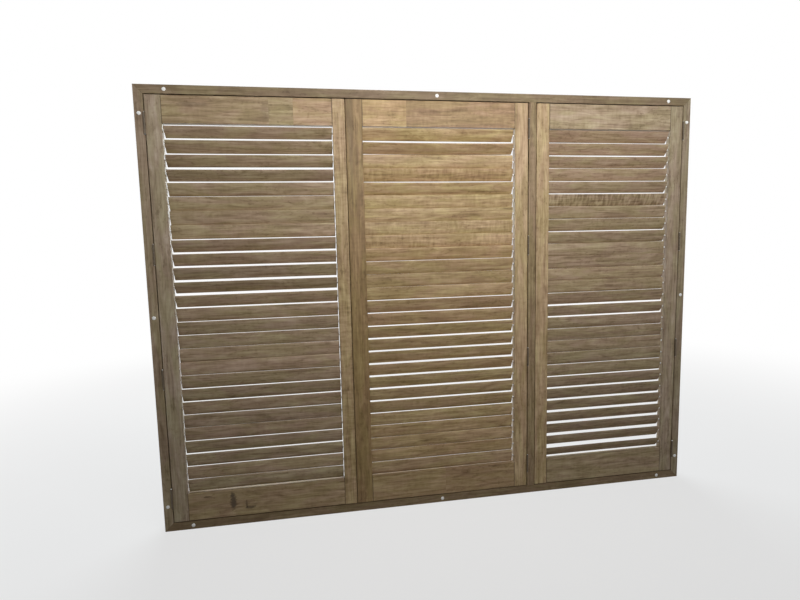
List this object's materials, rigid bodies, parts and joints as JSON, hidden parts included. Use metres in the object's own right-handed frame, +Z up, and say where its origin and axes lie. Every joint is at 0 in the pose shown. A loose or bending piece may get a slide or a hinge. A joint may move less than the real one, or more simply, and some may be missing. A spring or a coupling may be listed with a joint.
{
  "type": "louvred window shutters",
  "caption": "Wooden louvred shutters: a mitred surface frame with a post, hinged panels with tilting slats, a lapped meeting joint and screws into the wall.",
  "frame": {"origin": "middle of the frame's back plane, which lies on the wall, at the middle of its width and height", "axes": "+X to the right along the frame's width, +Y from the room into the wall, +Z up"},
  "size_m": [2.21, 0.1172, 1.671],
  "materials": {
    "frame_wood": "satin grey-brown stain",
    "slat_wood": "satin grey-brown stain",
    "bronze": "satin bronze paint",
    "steel": "plain",
    "cap_white": "matt"
  },
  "bodies": {
    "frame": {"frame_left": "frame_wood", "frame_right": "frame_wood", "frame_top": "frame_wood", "frame_bottom": "frame_wood", "t_post": "frame_wood", "frame_hinge_leaves": "bronze", "hinge_pins": "steel", "frame_hinge_screws": "steel", "catch_magnets": "steel", "wall_screws": "steel", "screw_caps": "cap_white"},
    "left_panel": {"left_hinge_stile": "frame_wood", "left_meeting_stile": "frame_wood", "left_top_rail": "frame_wood", "left_bottom_rail": "frame_wood", "left_slats": "slat_wood", "left_hinge_leaves": "bronze", "left_hinge_screws": "steel"},
    "middle_panel": {"middle_meeting_stile": "frame_wood", "middle_hinge_stile": "frame_wood", "middle_top_rail": "frame_wood", "middle_bottom_rail": "frame_wood", "middle_slats": "slat_wood", "middle_hinge_leaves": "bronze", "middle_hinge_screws": "steel", "middle_catch_strikes": "steel"},
    "right_panel": {"right_free_stile": "frame_wood", "right_hinge_stile": "frame_wood", "right_top_rail": "frame_wood", "right_bottom_rail": "frame_wood", "right_hinge_leaves": "bronze", "right_hinge_screws": "steel", "right_catch_strikes": "steel"},
    "right_slat_body_01": {"right_slat_01": "slat_wood"},
    "right_slat_body_02": {"right_slat_02": "slat_wood"},
    "right_slat_body_03": {"right_slat_03": "slat_wood"},
    "right_slat_body_04": {"right_slat_04": "slat_wood"},
    "right_slat_body_05": {"right_slat_05": "slat_wood"},
    "right_slat_body_06": {"right_slat_06": "slat_wood"},
    "right_slat_body_07": {"right_slat_07": "slat_wood"},
    "right_slat_body_08": {"right_slat_08": "slat_wood"},
    "right_slat_body_09": {"right_slat_09": "slat_wood"},
    "right_slat_body_10": {"right_slat_10": "slat_wood"},
    "right_slat_body_11": {"right_slat_11": "slat_wood"},
    "right_slat_body_12": {"right_slat_12": "slat_wood"},
    "right_slat_body_13": {"right_slat_13": "slat_wood"},
    "right_slat_body_14": {"right_slat_14": "slat_wood"},
    "right_slat_body_15": {"right_slat_15": "slat_wood"},
    "right_slat_body_16": {"right_slat_16": "slat_wood"},
    "right_slat_body_17": {"right_slat_17": "slat_wood"},
    "right_slat_body_18": {"right_slat_18": "slat_wood"},
    "right_slat_body_19": {"right_slat_19": "slat_wood"},
    "right_slat_body_20": {"right_slat_20": "slat_wood"},
    "right_slat_body_21": {"right_slat_21": "slat_wood"},
    "right_slat_body_22": {"right_slat_22": "slat_wood"},
    "right_slat_body_23": {"right_slat_23": "slat_wood"},
    "right_slat_body_24": {"right_slat_24": "slat_wood"},
    "right_slat_body_25": {"right_slat_25": "slat_wood"},
    "right_slat_body_26": {"right_slat_26": "slat_wood"},
    "right_slat_body_27": {"right_slat_27": "slat_wood"}
  },
  "joints": [
    {"name": "middle_panel_swing", "type": "hinge", "parent": "frame", "child": "middle_panel", "pos_m": [0.3775, -0.0737, 0], "axis": [0, 0, 1], "range_deg": [0, 100]},
    {"name": "left_panel_swing", "type": "hinge", "parent": "frame", "child": "left_panel", "pos_m": [-1.0715, -0.0737, 0], "axis": [0, 0, -1], "range_deg": [0, 100]},
    {"name": "right_panel_swing", "type": "hinge", "parent": "frame", "child": "right_panel", "pos_m": [1.0715, -0.0737, 0], "axis": [0, 0, 1], "range_deg": [0, 170]},
    {"name": "right_slat_tilt_01", "type": "hinge", "parent": "right_panel", "child": "right_slat_body_01", "pos_m": [0.7415, -0.0545, 0.674], "axis": [1, 0, 0], "range_deg": [-1, 138]},
    {"name": "right_slat_tilt_02", "type": "hinge", "parent": "right_panel", "child": "right_slat_body_02", "pos_m": [0.7415, -0.0545, 0.6225], "axis": [1, 0, 0], "range_deg": [-1, 138]},
    {"name": "right_slat_tilt_03", "type": "hinge", "parent": "right_panel", "child": "right_slat_body_03", "pos_m": [0.7415, -0.0545, 0.571], "axis": [1, 0, 0], "range_deg": [-1, 138]},
    {"name": "right_slat_tilt_04", "type": "hinge", "parent": "right_panel", "child": "right_slat_body_04", "pos_m": [0.7415, -0.0545, 0.5195], "axis": [1, 0, 0], "range_deg": [-1, 138]},
    {"name": "right_slat_tilt_05", "type": "hinge", "parent": "right_panel", "child": "right_slat_body_05", "pos_m": [0.7415, -0.0545, 0.468], "axis": [1, 0, 0], "range_deg": [-1, 138]},
    {"name": "right_slat_tilt_06", "type": "hinge", "parent": "right_panel", "child": "right_slat_body_06", "pos_m": [0.7415, -0.0545, 0.4165], "axis": [1, 0, 0], "range_deg": [-1, 138]},
    {"name": "right_slat_tilt_07", "type": "hinge", "parent": "right_panel", "child": "right_slat_body_07", "pos_m": [0.7415, -0.0545, 0.365], "axis": [1, 0, 0], "range_deg": [-1, 138]},
    {"name": "right_slat_tilt_08", "type": "hinge", "parent": "right_panel", "child": "right_slat_body_08", "pos_m": [0.7415, -0.0545, 0.3135], "axis": [1, 0, 0], "range_deg": [-1, 138]},
    {"name": "right_slat_tilt_09", "type": "hinge", "parent": "right_panel", "child": "right_slat_body_09", "pos_m": [0.7415, -0.0545, 0.262], "axis": [1, 0, 0], "range_deg": [-1, 138]},
    {"name": "right_slat_tilt_10", "type": "hinge", "parent": "right_panel", "child": "right_slat_body_10", "pos_m": [0.7415, -0.0545, 0.2105], "axis": [1, 0, 0], "range_deg": [-1, 138]},
    {"name": "right_slat_tilt_11", "type": "hinge", "parent": "right_panel", "child": "right_slat_body_11", "pos_m": [0.7415, -0.0545, 0.159], "axis": [1, 0, 0], "range_deg": [-1, 138]},
    {"name": "right_slat_tilt_12", "type": "hinge", "parent": "right_panel", "child": "right_slat_body_12", "pos_m": [0.7415, -0.0545, 0.1075], "axis": [1, 0, 0], "range_deg": [-1, 138]},
    {"name": "right_slat_tilt_13", "type": "hinge", "parent": "right_panel", "child": "right_slat_body_13", "pos_m": [0.7415, -0.0545, 0.056], "axis": [1, 0, 0], "range_deg": [-1, 138]},
    {"name": "right_slat_tilt_14", "type": "hinge", "parent": "right_panel", "child": "right_slat_body_14", "pos_m": [0.7415, -0.0545, 0.0045], "axis": [1, 0, 0], "range_deg": [-1, 138]},
    {"name": "right_slat_tilt_15", "type": "hinge", "parent": "right_panel", "child": "right_slat_body_15", "pos_m": [0.7415, -0.0545, -0.047], "axis": [1, 0, 0], "range_deg": [-1, 138]},
    {"name": "right_slat_tilt_16", "type": "hinge", "parent": "right_panel", "child": "right_slat_body_16", "pos_m": [0.7415, -0.0545, -0.0985], "axis": [1, 0, 0], "range_deg": [-1, 138]},
    {"name": "right_slat_tilt_17", "type": "hinge", "parent": "right_panel", "child": "right_slat_body_17", "pos_m": [0.7415, -0.0545, -0.15], "axis": [1, 0, 0], "range_deg": [-1, 138]},
    {"name": "right_slat_tilt_18", "type": "hinge", "parent": "right_panel", "child": "right_slat_body_18", "pos_m": [0.7415, -0.0545, -0.2015], "axis": [1, 0, 0], "range_deg": [-1, 138]},
    {"name": "right_slat_tilt_19", "type": "hinge", "parent": "right_panel", "child": "right_slat_body_19", "pos_m": [0.7415, -0.0545, -0.253], "axis": [1, 0, 0], "range_deg": [-1, 138]},
    {"name": "right_slat_tilt_20", "type": "hinge", "parent": "right_panel", "child": "right_slat_body_20", "pos_m": [0.7415, -0.0545, -0.3045], "axis": [1, 0, 0], "range_deg": [-1, 138]},
    {"name": "right_slat_tilt_21", "type": "hinge", "parent": "right_panel", "child": "right_slat_body_21", "pos_m": [0.7415, -0.0545, -0.356], "axis": [1, 0, 0], "range_deg": [-1, 138]},
    {"name": "right_slat_tilt_22", "type": "hinge", "parent": "right_panel", "child": "right_slat_body_22", "pos_m": [0.7415, -0.0545, -0.4075], "axis": [1, 0, 0], "range_deg": [-1, 138]},
    {"name": "right_slat_tilt_23", "type": "hinge", "parent": "right_panel", "child": "right_slat_body_23", "pos_m": [0.7415, -0.0545, -0.459], "axis": [1, 0, 0], "range_deg": [-1, 138]},
    {"name": "right_slat_tilt_24", "type": "hinge", "parent": "right_panel", "child": "right_slat_body_24", "pos_m": [0.7415, -0.0545, -0.5105], "axis": [1, 0, 0], "range_deg": [-1, 138]},
    {"name": "right_slat_tilt_25", "type": "hinge", "parent": "right_panel", "child": "right_slat_body_25", "pos_m": [0.7415, -0.0545, -0.562], "axis": [1, 0, 0], "range_deg": [-1, 138]},
    {"name": "right_slat_tilt_26", "type": "hinge", "parent": "right_panel", "child": "right_slat_body_26", "pos_m": [0.7415, -0.0545, -0.6135], "axis": [1, 0, 0], "range_deg": [-1, 138]},
    {"name": "right_slat_tilt_27", "type": "hinge", "parent": "right_panel", "child": "right_slat_body_27", "pos_m": [0.7415, -0.0545, -0.665], "axis": [1, 0, 0], "range_deg": [-1, 138]}
  ],
  "couplings": [
    {"joint": "left_panel_swing", "follows": "middle_panel_swing", "ratio": 1},
    {"joint": "right_slat_tilt_02", "follows": "right_slat_tilt_01", "ratio": 1},
    {"joint": "right_slat_tilt_03", "follows": "right_slat_tilt_01", "ratio": 1},
    {"joint": "right_slat_tilt_04", "follows": "right_slat_tilt_01", "ratio": 1},
    {"joint": "right_slat_tilt_05", "follows": "right_slat_tilt_01", "ratio": 1},
    {"joint": "right_slat_tilt_06", "follows": "right_slat_tilt_01", "ratio": 1},
    {"joint": "right_slat_tilt_07", "follows": "right_slat_tilt_01", "ratio": 1},
    {"joint": "right_slat_tilt_08", "follows": "right_slat_tilt_01", "ratio": 1},
    {"joint": "right_slat_tilt_09", "follows": "right_slat_tilt_01", "ratio": 1},
    {"joint": "right_slat_tilt_10", "follows": "right_slat_tilt_01", "ratio": 1},
    {"joint": "right_slat_tilt_11", "follows": "right_slat_tilt_01", "ratio": 1},
    {"joint": "right_slat_tilt_12", "follows": "right_slat_tilt_01", "ratio": 1},
    {"joint": "right_slat_tilt_13", "follows": "right_slat_tilt_01", "ratio": 1},
    {"joint": "right_slat_tilt_14", "follows": "right_slat_tilt_01", "ratio": 1},
    {"joint": "right_slat_tilt_15", "follows": "right_slat_tilt_01", "ratio": 1},
    {"joint": "right_slat_tilt_16", "follows": "right_slat_tilt_01", "ratio": 1},
    {"joint": "right_slat_tilt_17", "follows": "right_slat_tilt_01", "ratio": 1},
    {"joint": "right_slat_tilt_18", "follows": "right_slat_tilt_01", "ratio": 1},
    {"joint": "right_slat_tilt_19", "follows": "right_slat_tilt_01", "ratio": 1},
    {"joint": "right_slat_tilt_20", "follows": "right_slat_tilt_01", "ratio": 1},
    {"joint": "right_slat_tilt_21", "follows": "right_slat_tilt_01", "ratio": 1},
    {"joint": "right_slat_tilt_22", "follows": "right_slat_tilt_01", "ratio": 1},
    {"joint": "right_slat_tilt_23", "follows": "right_slat_tilt_01", "ratio": 1},
    {"joint": "right_slat_tilt_24", "follows": "right_slat_tilt_01", "ratio": 1},
    {"joint": "right_slat_tilt_25", "follows": "right_slat_tilt_01", "ratio": 1},
    {"joint": "right_slat_tilt_26", "follows": "right_slat_tilt_01", "ratio": 1},
    {"joint": "right_slat_tilt_27", "follows": "right_slat_tilt_01", "ratio": 1}
  ]
}
